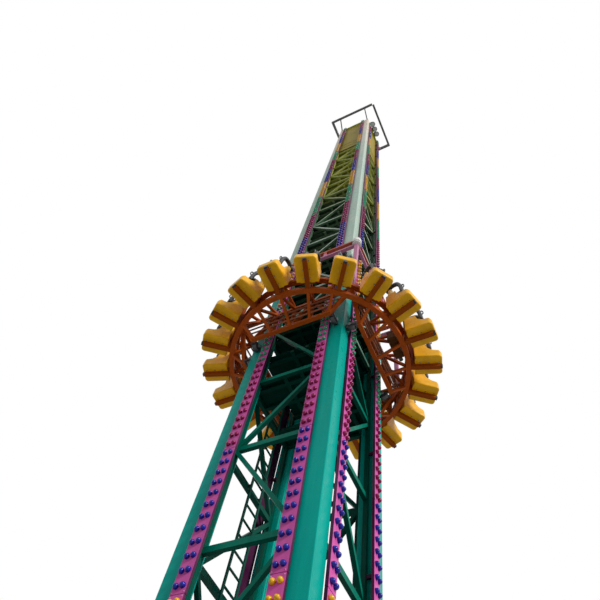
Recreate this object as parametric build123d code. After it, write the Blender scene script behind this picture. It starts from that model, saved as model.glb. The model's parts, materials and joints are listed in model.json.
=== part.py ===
from build123d import *
from math import hypot
import os

# Drop tower ride with a round gondola of twenty seats, in millimetres.
# +Z is up. The origin is the centre of the foot's bottom face, so z = 0 is the foundation.
# The front is -Y. Each side of the square tower is the front side turned about Z.
# The part that takes the most skill is the gondola: a square truss inside a round one, quartered
# on its mitres, with bucket seats and hinged shoulder restraints spaced round it.

os.makedirs("parts", exist_ok=True)

# Tower
tower_half = 900.0              # centre to the outer face of a guide column
column_side = 260.0
column_wall = 12.0
column_corner_radius = 18.0
lattice_depth = 62.0            # all bars of one lattice side
chord_width = 62.0
cross_bar_height = 88.0
diagonal_width = 58.0
first_level = 694.0             # centre of the lowest cross bar
bay_height = 1670.0
bay_count = 21
head_rise = 836.0               # highest cross bar's centre to the top of the columns

# Foot
base_plate_side = 520.0
base_plate_thickness = 40.0
anchor_spacing = 400.0
anchor_hole_radius = 14.0
gusset_height = 260.0
gusset_thickness = 16.0
gusset_reach = 110.0
base_beam_width = 220.0
base_beam_height = 120.0
cross_beam_width = 160.0
centre_plate_side = 420.0
centre_plate_thickness = 30.0
buffer_radius = 62.0
buffer_height = 200.0
rubber_radius = 54.0
rubber_height = 45.0

# Lamp strips
strip_width = 140.0
strip_depth = 55.0
strip_outer_edge = 640.0        # centre line of the side to the strip's far edge
strip_front = 1026.0            # tower centre to the strip's front face
strip_start = 835.0
strip_end_gap = 65.0            # below the top of the columns
strip_count = 17                # segments of one strip
seam_width = 8.0
seam_depth = 4.0
strip_bracket_width = 30.0
strip_bracket_height = 50.0

# Ladder and plan bracing
ladder_width = 320.0
ladder_stile = 32.0
ladder_depth = 26.0
rung_height = 18.0
rung_pitch = 250.0
ladder_standoff = 40.0
ladder_bracket_width = 22.0     # narrower than the stile that it holds
ladder_bracket_height = 40.0
ladder_room = 60.0              # plan bracing to ladder
plan_bar = 64.0
plan_plate_side = 440.0         # the rope guide in the middle of each plan frame
plan_plate_hole = 240.0

# Head of the tower
head_beam = 140.0
cap_thickness = 20.0
floor_thickness = 20.0
cladding_thickness = 12.0
cladding_drop = 4850.0          # length of the cladding below the top of the columns
cladding_edge = 60.0            # from the chord's centre line to the cladding
hoop_half = 1395.0              # centre to the centre line of a hoop tube
hoop_tube = 110.0
hoop_spacing = 310.0            # between the two tubes of one side
hoop_rise = 1940.0              # top of the head frame to the middle of the hoop
hoop_link_count = 5
hoop_gap = 110.0                # the front right corner stands open
hoop_post = 60.0
floodlight_radius = 150.0
floodlight_length = 190.0
floodlight_pitch = 315.0
floodlight_reach = 120.0
floodlight_shift = -180.0       # of the middle one, along the side
floodlight_tilt = 25.0
bracket_bar = 50.0
lamp_radius = 70.0
lamp_height = 190.0
lamp_base = 40.0
lamp_dome = 52.0

# Gondola
frame_reach = 250.0             # column face to the centre line of the square frame
ring_reach = 515.0              # square frame to the centre line of both ring tubes
ring_tube = 90.0
ring_low = 10245.0
ring_high = 10680.0
frame_tube = 70.0
frame_low = 9990.0
frame_low_half = 740.0          # the lower chord is shorter than the side
brace_width = 48.0
collar_low = 13000.0
collar_high = 13290.0
collar_tube = 60.0
corner_post = 80.0
mitre_gap = 0.4                 # between the quarters, along the middle of a side

# Guide wheels
wheel_radius = 90.0
wheel_width = 70.0
wheel_clearance = 0.5           # running gap from wheel to column face
wheel_hub_radius = 34.0
wheel_bore_clearance = 0.3
cheek_thickness = 14.0
cheek_gap = 6.0
hub_gap = 5.0
axle_radius = 16.0

# Seats, each drawn with x outward from its rear face and z up from the ring's top
seat_count = 20
seat_gap = 75.0                 # ring tube to the rear face of a seat
seat_width = 400.0
seat_depth = 490.0
seat_wing = 30.0
wing_height = 440.0
wing_line = ((1.0, 0.32), (0.9, 0.44), (0.67, 0.49), (0.5, 0.66), (0.42, 1.0))
pan_line = ((1.15, 0.37), (0.96, 0.37), (0.88, 0.27), (0.24, 0.24), (0.2, 0.57))
back_height = 880.0
back_width = 260.0
back_thickness = 60.0
nose_round = 60.0
shell_round = 26.0
arm_width = 75.0
arm_height = 80.0
arm_length = 450.0              # rear face of a seat to the arm's end
end_cap_length = 38.0
end_cap_side = 62.0

# Shoulder restraints, their middle line drawn from the pin
pin_radius = 18.0
pin_clearance = 0.5
pin_lift = 60.0                 # above the seat's back
pin_rear = 37.0                 # behind the seat's rear face
boss_radius = 42.0
restraint_line = ((0.0, 0.0), (125.0, 52.0), (235.0, 0.0), (300.0, -170.0), (325.0, -370.0), (335.0, -500.0))
restraint_bend = 55.0
pad_thickness = 80.0
pad_width = 84.0
pad_inner = 60.0                # centre line of the seat to a pad's near side
pad_round = 18.0
pin_end = 8.0

# Values that follow from the sizes above
column_centre = tower_half - column_side / 2
column_inner = tower_half - column_side
lattice_front = column_centre + lattice_depth / 2
lattice_back = column_centre - lattice_depth / 2
levels = [first_level + bay_height * i for i in range(bay_count + 1)]
column_top = levels[-1] + head_rise
strip_back = strip_front - strip_depth
strip_top = column_top - strip_end_gap
strip_segment = (strip_top - strip_start) / strip_count
strip_centre = strip_outer_edge - strip_width / 2
chord_centre = column_inner - chord_width / 2
floor_bottom = levels[-1] + cross_bar_height / 2
head_bottom = column_top + cap_thickness
head_top = head_bottom + head_beam
hoop_middle = head_top + hoop_rise
cladding_foot = column_top - cladding_drop
frame_half = tower_half + frame_reach
ring_radius = frame_half + ring_reach
seat_base = ring_low + ring_tube / 2
arm_inner = ring_radius + ring_tube / 2
seat_rear = arm_inner + seat_gap
pin_height = back_height + pin_lift
wheel_centre = tower_half + wheel_clearance + wheel_radius
frame_inner_face = frame_half - frame_tube / 2
side_names = ("front", "right", "back", "left")


def save(shape, name):
    """Write one sub-part to its own file."""
    shape.label = name
    export_step(shape, f"parts/{name}.step")


def group(solids, name):
    """Write like pieces as separate solids of one sub-part."""
    save(Compound(children=list(solids)), name)


def bar(start, end, width, height, up=(0, 0, 1)):
    """A straight bar of rectangular section between two points; height lies nearest to up."""
    a, b = Vector(*start), Vector(*end)
    along = (b - a).normalized()
    across = along.cross(Vector(*up)).normalized()
    frame = Plane(origin=(a + b) * 0.5, x_dir=across, z_dir=along)
    return frame * Box(width, height, (b - a).length)


def strip_face(a, b, width):
    """A flat bar of the given width between two points of a sketch."""
    ax, ay = a
    bx, by = b
    length = hypot(bx - ax, by - ay)
    nx, ny = -(by - ay) / length * width / 2, (bx - ax) / length * width / 2
    corners = [(ax + nx, ay + ny), (bx + nx, by + ny), (bx - nx, by - ny), (ax - nx, ay - ny)]
    return make_face(Polyline(*corners, close=True))


def upright(faces, depth, y_centre):
    """Extrude a sketch, drawn as x and z, evenly to both sides of a plane of constant y."""
    sketch = Sketch() + faces
    plane = Plane(origin=(0, y_centre, 0), x_dir=(1, 0, 0), z_dir=(0, -1, 0))
    return extrude(plane * sketch, amount=depth / 2, both=True)


def turned(shape, quarter):
    """The front piece turned to another side."""
    return shape.rotate(Axis.Z, 90 * quarter)


def at_corners(make):
    """One piece for each corner of the tower."""
    return [make(sx, sy) for sx in (-1, 1) for sy in (-1, 1)]


# Foot and columns

def guide_column(sx, sy):
    """A box column, closed at its top by a cap plate."""
    height = column_top - base_plate_thickness
    outer = RectangleRounded(column_side, column_side, column_corner_radius)
    inner_side = column_side - 2 * column_wall
    inner = RectangleRounded(inner_side, inner_side, column_corner_radius - column_wall)
    tube = extrude(outer - inner, amount=height)
    cap = Pos(0, 0, height) * extrude(outer, amount=cap_thickness)
    return Pos(sx * column_centre, sy * column_centre, base_plate_thickness) * (tube + cap)


def base_plate(sx, sy):
    """An anchor plate with four bolt holes and a pair of gussets on each open side."""
    plate = extrude(Rectangle(base_plate_side, base_plate_side), amount=base_plate_thickness)
    holes = GridLocations(anchor_spacing, anchor_spacing, 2, 2) * Cylinder(
        anchor_hole_radius, base_plate_thickness * 3)
    plate -= holes
    foot = column_side / 2
    profile = make_face(Polyline(
        (foot, 0), (foot + gusset_reach, 0), (foot + gusset_reach, gusset_thickness),
        (foot + gusset_thickness, gusset_height), (foot, gusset_height), close=True))
    plane = Plane(origin=(0, 0, base_plate_thickness), x_dir=(1, 0, 0), z_dir=(0, -1, 0))
    rib = extrude(plane * profile, amount=gusset_thickness / 2, both=True)
    shift = column_side / 4
    for turn in range(4):
        for offset in (-shift, shift):
            plate += (Pos(0, offset, 0) * rib).rotate(Axis.Z, 90 * turn)
    return Pos(sx * column_centre, sy * column_centre, 0) * plate


def base_frame():
    """The ring of beams round the anchor plates, a cross with a centre plate, and four buffers."""
    inner = column_centre + base_plate_side / 2
    outer = inner + base_beam_width
    ring = Rectangle(2 * outer, 2 * outer) - Rectangle(2 * inner, 2 * inner)
    cross = Rectangle(2 * inner, cross_beam_width) + Rectangle(cross_beam_width, 2 * inner)
    frame = extrude(ring + cross, amount=base_beam_height)
    frame += extrude(Rectangle(centre_plate_side, centre_plate_side), amount=centre_plate_thickness)
    for quarter in range(4):
        frame += landing_buffer(quarter)
    return frame


def landing_buffer(quarter):
    """A buffer pot with a rubber pad, in the path of the gondola's lower frame."""
    pot = Pos(0, -frame_half, base_beam_height + buffer_height / 2) * Cylinder(buffer_radius, buffer_height)
    rubber_z = base_beam_height + buffer_height + rubber_height / 2
    rubber = Pos(0, -frame_half, rubber_z) * Cylinder(rubber_radius, rubber_height)
    return turned(pot + rubber, quarter)


# Lattice sides, ladder and plan bracing

def lattice_side(quarter):
    """Two chords, a cross bar at each level and a zigzag of diagonals, fused as one flat piece."""
    top = levels[-1] + cross_bar_height / 2
    foot = base_plate_thickness + gusset_height
    faces = []
    for side in (-1, 1):
        x = side * chord_centre
        faces.append(strip_face((x, foot), (x, top), chord_width))
    for z in levels:
        faces.append(strip_face((-column_inner, z), (column_inner, z), cross_bar_height))
    for i in range(bay_count):
        rise = 1 if i % 2 == 0 else -1
        a = (-rise * chord_centre, levels[i])
        b = (rise * chord_centre, levels[i + 1])
        faces.append(strip_face(a, b, diagonal_width))
    return turned(upright(faces, lattice_depth, -column_centre), quarter)


def lamp_strip(quarter, side):
    """A shallow box in segments, held off the lattice by a bracket at each seam."""
    front = [(-strip_back, strip_start), (-strip_front, strip_start)]
    for i in range(1, strip_count):
        seam = strip_start + strip_segment * i
        front += [(-strip_front, seam - seam_width / 2), (-strip_front + seam_depth, seam - seam_width / 2),
                  (-strip_front + seam_depth, seam + seam_width / 2), (-strip_front, seam + seam_width / 2)]
    front += [(-strip_front, strip_top), (-strip_back, strip_top)]
    plane = Plane(origin=(side * strip_centre, 0, 0), x_dir=(0, 1, 0), z_dir=(1, 0, 0))
    strip = extrude(plane * make_face(Polyline(*front, close=True)), amount=strip_width / 2, both=True)
    reach = strip_back - lattice_front
    y = -(strip_back + lattice_front) / 2
    x = side * (column_inner - chord_width + strip_outer_edge) / 2
    for i in range(strip_count):
        z = strip_start + strip_segment * (i + 0.5)
        strip += Pos(x, y, min(z, floor_bottom - strip_bracket_height)) * Box(
            strip_bracket_width, reach, strip_bracket_height)
    return turned(strip, quarter)


def ladder():
    """The maintenance ladder inside the left side of the tower, on brackets from the cross bars."""
    foot = levels[0] - cross_bar_height / 2
    top = floor_bottom - rung_pitch
    half = (ladder_width - ladder_stile) / 2
    faces = [strip_face((side * half, foot), (side * half, top), ladder_stile) for side in (-1, 1)]
    for i in range(int((top - foot) / rung_pitch)):
        z = foot + rung_pitch * (i + 0.5)
        faces.append(strip_face((-half, z), (half, z), rung_height))
    piece = upright(faces, ladder_depth, -(lattice_back - ladder_standoff - ladder_depth / 2))
    for z in levels[:-1:2]:
        for side in (-1, 1):
            piece += Pos(side * half, -(lattice_back - ladder_standoff / 2), z) * Box(
                ladder_bracket_width, ladder_standoff, ladder_bracket_height)
    return turned(piece, 3)


def plan_brace(z):
    """A level frame between the four columns: a cross, a diamond and the rope guide."""
    reach = column_inner + column_side / 4
    cross = strip_face((-reach, -reach), (reach, reach), plan_bar)
    cross += strip_face((-reach, reach), (reach, -reach), plan_bar)
    tips = [(0, -lattice_back), (lattice_back, 0), (0, lattice_back), (-lattice_back, 0)]
    for i in range(4):
        cross += strip_face(tips[i - 1], tips[i], plan_bar)
    cross &= Rectangle(2 * lattice_back, 2 * lattice_back)
    for x, y in ((-1, -1), (-1, 1), (1, -1), (1, 1)):
        cross -= Pos(x * column_centre, y * column_centre) * Rectangle(column_side, column_side)
    cross += Rectangle(plan_plate_side, plan_plate_side)
    cross -= Rectangle(plan_plate_hole, plan_plate_hole)
    room_depth = ladder_standoff + ladder_depth + ladder_room
    cross -= Pos(-lattice_back + room_depth / 2, 0) * Rectangle(room_depth, ladder_width + 2 * ladder_room)
    return Pos(0, 0, z - plan_bar / 2) * extrude(cross, amount=plan_bar)


# Head of the tower

def head_frame():
    """The square of beams on the column caps, with two beams across it."""
    outer = tower_half
    inner = tower_half - head_beam
    ring = Rectangle(2 * outer, 2 * outer) - Rectangle(2 * inner, 2 * inner)
    across = Rectangle(2 * inner, head_beam) + Rectangle(head_beam, 2 * inner)
    return Pos(0, 0, head_bottom) * extrude(ring + across, amount=head_beam)


def head_cladding():
    """The platform over the top cross bars, with a plain sheet down the top bays of each side."""
    plan = Rectangle(2 * lattice_front, 2 * lattice_front)
    for x, y in ((-1, -1), (-1, 1), (1, -1), (1, 1)):
        plan -= Pos(x * column_centre, y * column_centre) * Rectangle(column_side, column_side)
    shell = Pos(0, 0, floor_bottom) * extrude(plan, amount=floor_thickness)
    width = 2 * (chord_centre - cladding_edge)
    height = column_top - cladding_foot
    sheet = Pos(0, -lattice_front - cladding_thickness / 2, cladding_foot + height / 2) * Box(
        width, cladding_thickness, height)
    for quarter in range(4):
        shell += turned(sheet, quarter)
    return shell


def hoop_side(quarter):
    """Two tubes, one above the other, with links; cut on the mitres, open at one corner."""
    z_low = hoop_middle - hoop_spacing / 2
    z_high = hoop_middle + hoop_spacing / 2
    outer = hoop_half + hoop_tube / 2
    faces = [strip_face((-outer, z), (outer, z), hoop_tube) for z in (z_low, z_high)]
    for i in range(hoop_link_count):
        x = -hoop_half + 2 * hoop_half * i / (hoop_link_count - 1)
        faces.append(strip_face((x, z_low), (x, z_high), hoop_tube))
    side = turned(upright(faces, hoop_tube, -hoop_half), quarter) & wedge(quarter, 2 * hoop_half)
    corner = Pos(outer, -outer, hoop_middle) * Box(2 * hoop_gap, 2 * hoop_gap, 2 * hoop_spacing)
    return side - corner


def hoop_post_piece(sx, sy):
    """A leaning post from a column's cap frame out to the hoop's lower tube."""
    z_top = hoop_middle - hoop_spacing / 2 - hoop_tube / 2 - mitre_gap
    x = sx * (tower_half - head_beam / 2)
    lean = bar((x, sy * (tower_half - head_beam / 2), head_top - hoop_post),
               (x, sy * hoop_half, z_top + hoop_post), hoop_post, hoop_post, up=(1, 0, 0))
    slab = Pos(x, sy * column_centre, (head_top + z_top) / 2) * Box(
        4 * hoop_post, 4 * hoop_half, z_top - head_top)
    return lean & slab


def floodlight(side, index):
    """A round lamp head on a bar from the head frame, tipped down along the tower."""
    z = head_bottom + head_beam / 2
    y = floodlight_shift + (index - 1) * floodlight_pitch
    arm = Pos(side * (tower_half + floodlight_reach / 2), y, z) * Box(floodlight_reach, bracket_bar, bracket_bar)
    body = Cylinder(floodlight_radius, floodlight_length)
    head = Pos(side * (tower_half + floodlight_reach), y, z) * Rot(0, -side * floodlight_tilt, 0) * body
    apart = Pos(side * (tower_half - floodlight_radius), y, z) * Box(
        2 * floodlight_radius, 4 * floodlight_radius, 4 * floodlight_radius)
    return arm + head - apart


def top_lamp(sx, sy):
    """A warning lamp with a domed top on each column."""
    base = Pos(0, 0, lamp_base / 2) * Cylinder(lamp_radius, lamp_base)
    straight = lamp_height - lamp_base - lamp_dome
    body = Pos(0, 0, lamp_base + straight / 2) * Cylinder(lamp_dome, straight)
    dome = Pos(0, 0, lamp_base + straight) * Sphere(lamp_dome)
    shift = tower_half - head_beam / 2
    return Pos(sx * shift, sy * (shift - lamp_radius - 2 * hoop_post), head_top) * (base + body + dome)


# Gondola

def wedge(quarter, reach):
    """The quarter of space that belongs to one side, as a tall prism."""
    apex = -mitre_gap
    plan = make_face(Polyline((0, apex), (-reach, apex - reach), (reach, apex - reach), close=True))
    return turned(extrude(plan, amount=column_top * 2), quarter)


def ring_face(radius, width):
    return Circle(radius + width / 2) - Circle(radius - width / 2)


def gondola_side(quarter):
    """A quarter of the gondola: a truss with a short lower chord, the ring tubes and the struts between."""
    half = frame_low_half
    low_x = [-half, -half / 2, 0, half / 2, half]
    end = frame_half + frame_tube / 2
    faces = [strip_face((-half - frame_tube / 2, frame_low), (half + frame_tube / 2, frame_low), frame_tube),
             strip_face((-end, ring_high), (end, ring_high), frame_tube)]
    for side in (-1, 1):
        faces.append(strip_face((side * half, frame_low), (side * frame_half, ring_high), frame_tube))
        faces.append(strip_face((side * half, frame_low), (side * half / 2, ring_high), brace_width))
        faces.append(strip_face((0, frame_low), (side * half / 2, ring_high), brace_width))
    for x in low_x[1:-1]:
        faces.append(strip_face((x, frame_low), (x, ring_high), brace_width))
    side = upright(faces, frame_tube, -frame_half)
    for z in (ring_low, ring_high):
        side += Pos(0, 0, z - ring_tube / 2) * extrude(ring_face(ring_radius, ring_tube), amount=ring_tube)
    for x in low_x:
        scale = ring_radius / hypot(x, frame_half)
        foot = (x * scale, -frame_half * scale)
        side += bar((x, -frame_half, frame_low), (*foot, ring_low), brace_width, brace_width)
        side += bar((x, -frame_half, ring_high), (*foot, ring_high), brace_width, brace_width)
        side += bar((*foot, ring_low), (*foot, ring_high), brace_width, brace_width, up=(0, 1, 0))
        side += bar((x, -frame_half, ring_high), (*foot, ring_low), brace_width, brace_width)
    return turned(side & wedge(0, 2 * ring_radius), quarter)


def corner_post_piece(sx, sy):
    """A post from the gondola's corner up to the collar."""
    foot = ring_high + ring_tube / 2
    top = collar_low - collar_tube / 2 - mitre_gap
    return Pos(sx * frame_half, sy * frame_half, (foot + top) / 2) * Box(corner_post, corner_post, top - foot)


def collar_side(quarter):
    """One side of the upper guide collar, cut on its mitres."""
    outer = frame_half + frame_tube / 2
    faces = [strip_face((-outer, z), (outer, z), collar_tube) for z in (collar_low, collar_high)]
    for x in (-frame_half, -frame_half / 3, frame_half / 3, frame_half):
        faces.append(strip_face((x, collar_low), (x, collar_high), collar_tube))
    return turned(upright(faces, frame_tube, -frame_half) & wedge(0, 2 * frame_half), quarter)


def wheel_places():
    """Side, offset along the side, and height of each guide wheel."""
    for quarter in range(4):
        for offset in (-column_centre, column_centre):
            for z in (frame_low, collar_high):
                yield quarter, offset, z


def guide_wheel(quarter, offset, z):
    """A guide wheel with a stepped hub, bored for its axle."""
    tyre = Cylinder(wheel_radius, wheel_width)
    hub = Cylinder(wheel_hub_radius, wheel_width + 2 * hub_gap)
    bore = Cylinder(axle_radius + wheel_bore_clearance, 2 * wheel_width)
    return turned(Pos(offset, -wheel_centre, z) * Rot(0, 90, 0) * (tyre + hub - bore), quarter)


def wheel_bracket(quarter, offset, z):
    """Two cheeks on a plate against the frame, with the axle between them."""
    spacing = wheel_width / 2 + cheek_gap + cheek_thickness / 2
    height = 2 * axle_radius + cheek_thickness * 2
    depth = frame_inner_face - wheel_centre + 2 * axle_radius
    axle = Cylinder(axle_radius, 2 * spacing + 2 * cheek_thickness)
    piece = Pos(offset, -wheel_centre, z) * Rot(0, 90, 0) * axle
    for side in (-1, 1):
        piece += Pos(offset + side * spacing, -frame_inner_face + depth / 2, z) * Box(
            cheek_thickness, depth, height)
    piece += Pos(offset, -frame_inner_face + cheek_thickness / 2, z) * Box(
        2 * spacing + cheek_thickness, cheek_thickness, height)
    return turned(piece, quarter)


def seat_angles(quarter):
    """Angles of the seats that belong to one side."""
    step = 360 / seat_count
    per_side = seat_count // 4
    middle = -90 + 90 * quarter
    return [middle + step * (i - (per_side - 1) / 2) for i in range(per_side)]


def placed(shape, angle):
    """Put a piece drawn in the seat's own frame, x outward, at its angle round the ring."""
    return (Pos(seat_rear, 0, seat_base) * shape).rotate(Axis.Z, angle)


def side_profile(points, width):
    """A profile in x and z, extruded evenly across the seat."""
    plane = Plane(origin=(0, 0, 0), x_dir=(1, 0, 0), z_dir=(0, -1, 0))
    return extrude(plane * make_face(Polyline(*points, close=True)), amount=width / 2, both=True)


def seat_shell():
    """A bucket seat in one moulding: a deep pan, low wings and a narrower back."""
    wings = [(u * seat_depth, v * wing_height) for u, v in wing_line]
    bucket = side_profile([(0, 0), (seat_depth, 0), *wings, (0, wing_height)], seat_width)
    nose = bucket.edges().filter_by(Axis.Z).sort_by(Axis.X)[-2:]
    bucket = fillet(nose, nose_round)
    rim = [e for e in bucket.edges() if abs(e.center().Z) < 1]
    bucket = fillet(rim, shell_round)
    back = Pos(back_thickness / 2, 0, back_height / 2) * Box(back_thickness, back_width, back_height)
    corners = [e for e in back.edges().filter_by(Axis.X) if e.center().Z > back_height / 2]
    back = fillet(corners, nose_round)
    room = [(u * seat_depth, v * wing_height) for u, v in pan_line]
    above = wing_height + back_thickness
    space = side_profile([*room, (back_thickness, above), (room[0][0], above)], seat_width - 2 * seat_wing)
    return (bucket - space) + back


def seat_arm():
    """The arm from the ring out under a seat."""
    start = ring_radius - seat_rear
    arm = Pos((start + arm_length) / 2, 0, -arm_height / 2) * Box(arm_length - start, arm_width, arm_height)
    ring_clear = Pos(-seat_rear, 0, -arm_height / 2) * Cylinder(arm_inner, 2 * arm_height)
    return arm - ring_clear


def seat_post():
    """The upright behind a seat, with the pin of the restraint."""
    top = pin_height + boss_radius
    post = Pos(-seat_gap / 2, 0, top / 2) * Box(seat_gap, arm_width, top)
    pin_length = 2 * (pad_inner + pad_width + pin_end)
    pin = Pos(-pin_rear, 0, pin_height) * Rot(90, 0, 0) * Cylinder(pin_radius, pin_length)
    ring_clear = Pos(-seat_rear, 0, top / 2) * Cylinder(arm_inner, 2 * top)
    return post + pin - ring_clear


def end_cap():
    """The black plug in the end of a seat arm."""
    return Pos(arm_length + end_cap_length / 2, 0, -arm_height / 2) * Box(
        end_cap_length, end_cap_side, end_cap_side)


def restraint():
    """Two padded arms from the pin, over the shoulders and down to a crosspiece at the lap."""
    path = [(x - pin_rear, z + pin_height) for x, z in restraint_line]
    band = band_face(FilletPolyline(*path, radius=restraint_bend), pad_thickness)
    plane = Plane(origin=(0, 0, 0), x_dir=(1, 0, 0), z_dir=(0, -1, 0))
    end_x, end_z = path[-1]
    cross = Pos(end_x, 0, end_z) * Box(pad_thickness, 2 * (pad_inner + pad_width), pad_thickness)
    piece = fillet(cross.edges(), pad_round)
    for side in (-1, 1):
        y = side * (pad_inner + pad_width / 2)
        piece += Pos(0, y, 0) * extrude(plane * band, amount=pad_width / 2, both=True)
        piece += Pos(-pin_rear, y, pin_height) * Rot(90, 0, 0) * Cylinder(boss_radius, pad_width)
    bore = Pos(-pin_rear, 0, pin_height) * Rot(90, 0, 0) * Cylinder(pin_radius + pin_clearance, 8 * pad_width)
    return piece - bore


def band_face(line, width):
    """The outline of a band of even width along an open line."""
    return make_face(Wire(line.edges()).offset_2d(width / 2, kind=Kind.ARC, side=Side.BOTH))


save(base_frame(), "base_frame")
group(at_corners(base_plate), "base_plates")
group(at_corners(guide_column), "guide_columns")
for quarter, side_name in enumerate(side_names):
    save(lattice_side(quarter), f"lattice_{side_name}")
group([lamp_strip(q, s) for q in range(4) for s in (-1, 1)], "lamp_strips")
save(ladder(), "ladder")
group([plan_brace(z) for z in levels], "plan_bracing")
save(head_frame(), "head_frame")
save(head_cladding(), "head_cladding")
group([hoop_side(q) for q in range(4)] + at_corners(hoop_post_piece), "top_hoop")
group([floodlight(s, i) for s in (-1, 1) for i in range(3)] + at_corners(top_lamp), "head_lamps")

group([gondola_side(q) for q in range(4)], "gondola_frame")
group([collar_side(q) for q in range(4)] + at_corners(corner_post_piece), "upper_collar")
group([wheel_bracket(*place) for place in wheel_places()], "wheel_brackets")
group([guide_wheel(*place) for place in wheel_places()], "guide_wheels")

all_angles = [angle for quarter in range(4) for angle in seat_angles(quarter)]
for shape, part_name in ((seat_arm(), "seat_arms"), (seat_post(), "seat_posts"), (end_cap(), "arm_end_caps")):
    group([placed(shape, angle) for angle in all_angles], part_name)
shell = seat_shell()
for quarter, side_name in enumerate(side_names):
    group([placed(shell, angle) for angle in seat_angles(quarter)], f"seats_{side_name}")
harness = restraint()
for number, angle in enumerate(all_angles, start=1):
    save(placed(harness, angle), f"restraint_{number:02d}")
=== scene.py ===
"""Finishes, lamps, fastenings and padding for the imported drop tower, with its stage and camera."""

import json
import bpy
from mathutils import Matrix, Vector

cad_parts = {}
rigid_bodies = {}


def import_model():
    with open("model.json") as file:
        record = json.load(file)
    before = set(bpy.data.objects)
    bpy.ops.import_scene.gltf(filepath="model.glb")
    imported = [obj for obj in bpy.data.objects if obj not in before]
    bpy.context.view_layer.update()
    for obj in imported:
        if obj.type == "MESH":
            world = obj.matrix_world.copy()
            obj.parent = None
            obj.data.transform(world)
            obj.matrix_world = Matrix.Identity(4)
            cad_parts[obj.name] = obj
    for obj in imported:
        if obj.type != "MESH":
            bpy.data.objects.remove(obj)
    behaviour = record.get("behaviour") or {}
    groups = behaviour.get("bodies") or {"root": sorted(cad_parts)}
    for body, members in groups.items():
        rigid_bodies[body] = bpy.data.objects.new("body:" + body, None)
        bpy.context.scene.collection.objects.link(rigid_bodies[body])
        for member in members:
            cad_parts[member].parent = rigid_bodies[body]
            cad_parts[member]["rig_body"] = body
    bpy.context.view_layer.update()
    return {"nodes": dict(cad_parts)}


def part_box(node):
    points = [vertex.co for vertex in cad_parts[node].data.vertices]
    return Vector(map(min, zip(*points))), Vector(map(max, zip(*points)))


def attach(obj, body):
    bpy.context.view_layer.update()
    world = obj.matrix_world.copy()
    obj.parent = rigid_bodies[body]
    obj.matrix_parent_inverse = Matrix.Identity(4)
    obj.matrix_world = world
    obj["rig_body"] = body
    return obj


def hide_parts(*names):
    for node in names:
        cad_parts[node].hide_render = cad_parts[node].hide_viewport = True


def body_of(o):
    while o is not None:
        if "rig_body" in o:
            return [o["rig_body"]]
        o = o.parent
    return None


bl_info = {
    "name": "Drop Tower Dressing",
    "version": (1, 0, 0),
    "blender": (4, 5, 0),
    "location": "View3D > Sidebar > Drop Tower",
    "description": "Paints a fairground drop tower and adds its lamps, bolts, padding and stage",
    "category": "Object",
}

from math import copysign, cos, pi, radians, sin

import bpy
from bpy.props import FloatProperty, FloatVectorProperty, IntProperty, PointerProperty
from mathutils import Matrix, Vector

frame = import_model()

TOWER = "tower"
GONDOLA = "gondola"
SIDES = ("front", "right", "back", "left")
STRIP_LOW, STRIP_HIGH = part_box("lamp_strips")
COLUMN_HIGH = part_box("guide_columns")[1]
BARS_LOW, BARS_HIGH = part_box("lattice_front")
PLATE_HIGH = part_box("base_plates")[1]
HEAD_LOW, HEAD_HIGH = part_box("head_frame")
RING_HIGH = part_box("gondola_frame")[1]
COLLAR_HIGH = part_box("upper_collar")[1]
SEAT_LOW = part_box("seats_front")[0]
WHEEL_LOW, WHEEL_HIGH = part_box("guide_wheels")
RESTRAINTS = sorted(name for name in frame["nodes"] if name.startswith("restraint_"))
CORNERS = [(x, y) for x in (-1, 1) for y in (-1, 1)]

# shares of the tower's height, inside it: from and to where it is moss, and olive, as painted shade and
# painted light
MOSS_BAND = (0.42, 0.54)
OLIVE_BAND = (0.59, 1.0)


def colour(name, text, value):
    """A colour setting, linear, without alpha."""
    return FloatVectorProperty(name=name, description=text, subtype="COLOR", size=3, min=0, max=1,
                               default=value)


def length(name, text, value):
    """A size setting in metres."""
    return FloatProperty(name=name, description=text, default=value, min=0, unit="LENGTH", precision=4)


def angle(name, text, degrees):
    """An angle setting, given in degrees."""
    return FloatProperty(name=name, description=text, default=radians(degrees), subtype="ANGLE")


def amount(name, text, value, lowest=1):
    """A setting that counts things."""
    return IntProperty(name=name, description=text, default=value, min=lowest)


def number(name, text, value):
    """A setting that is a plain number."""
    return FloatProperty(name=name, description=text, default=value, min=0)


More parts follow.
